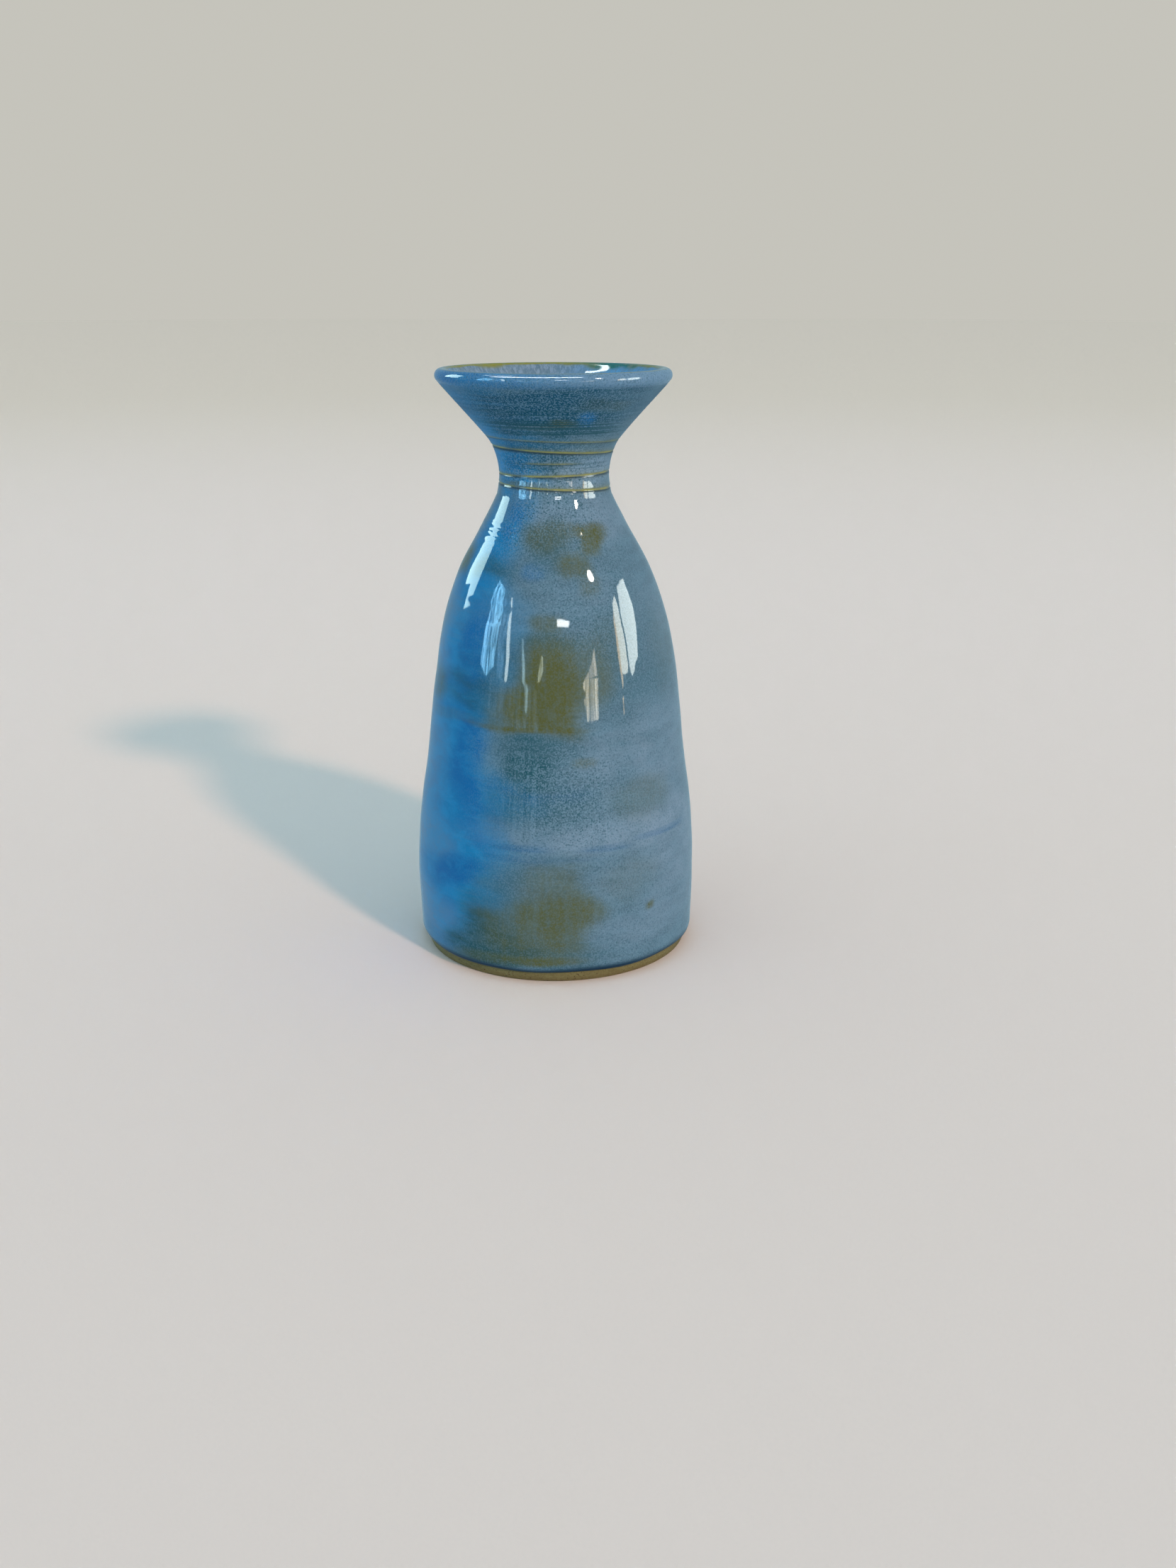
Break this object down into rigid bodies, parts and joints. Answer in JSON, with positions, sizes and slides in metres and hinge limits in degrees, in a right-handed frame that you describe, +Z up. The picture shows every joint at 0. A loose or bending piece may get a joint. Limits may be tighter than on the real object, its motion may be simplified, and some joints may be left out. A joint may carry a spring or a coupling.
{
  "type": "ceramic bud vase",
  "caption": "Hand-thrown ceramic bud vase: straight-sided belly, narrow waisted neck, wide funnel lip, blue glaze over bare clay foot.",
  "frame": {"origin": "centre of the foot, on the surface that the vase stands on", "axes": "+Z up along the turning axis, out through the mouth; +X and +Y are any two square directions, because the vase is round"},
  "size_m": [0.0788, 0.0788, 0.16],
  "materials": {
    "fired_clay": "matte",
    "blue_glaze": "gloss",
    "lip_glaze": "gloss",
    "liner_glaze": "gloss"
  },
  "bodies": {
    "root": {"clay_body": "fired_clay", "outer_glaze": "blue_glaze", "lip_glaze": "lip_glaze", "inner_glaze": "liner_glaze"}
  },
  "joints": []
}
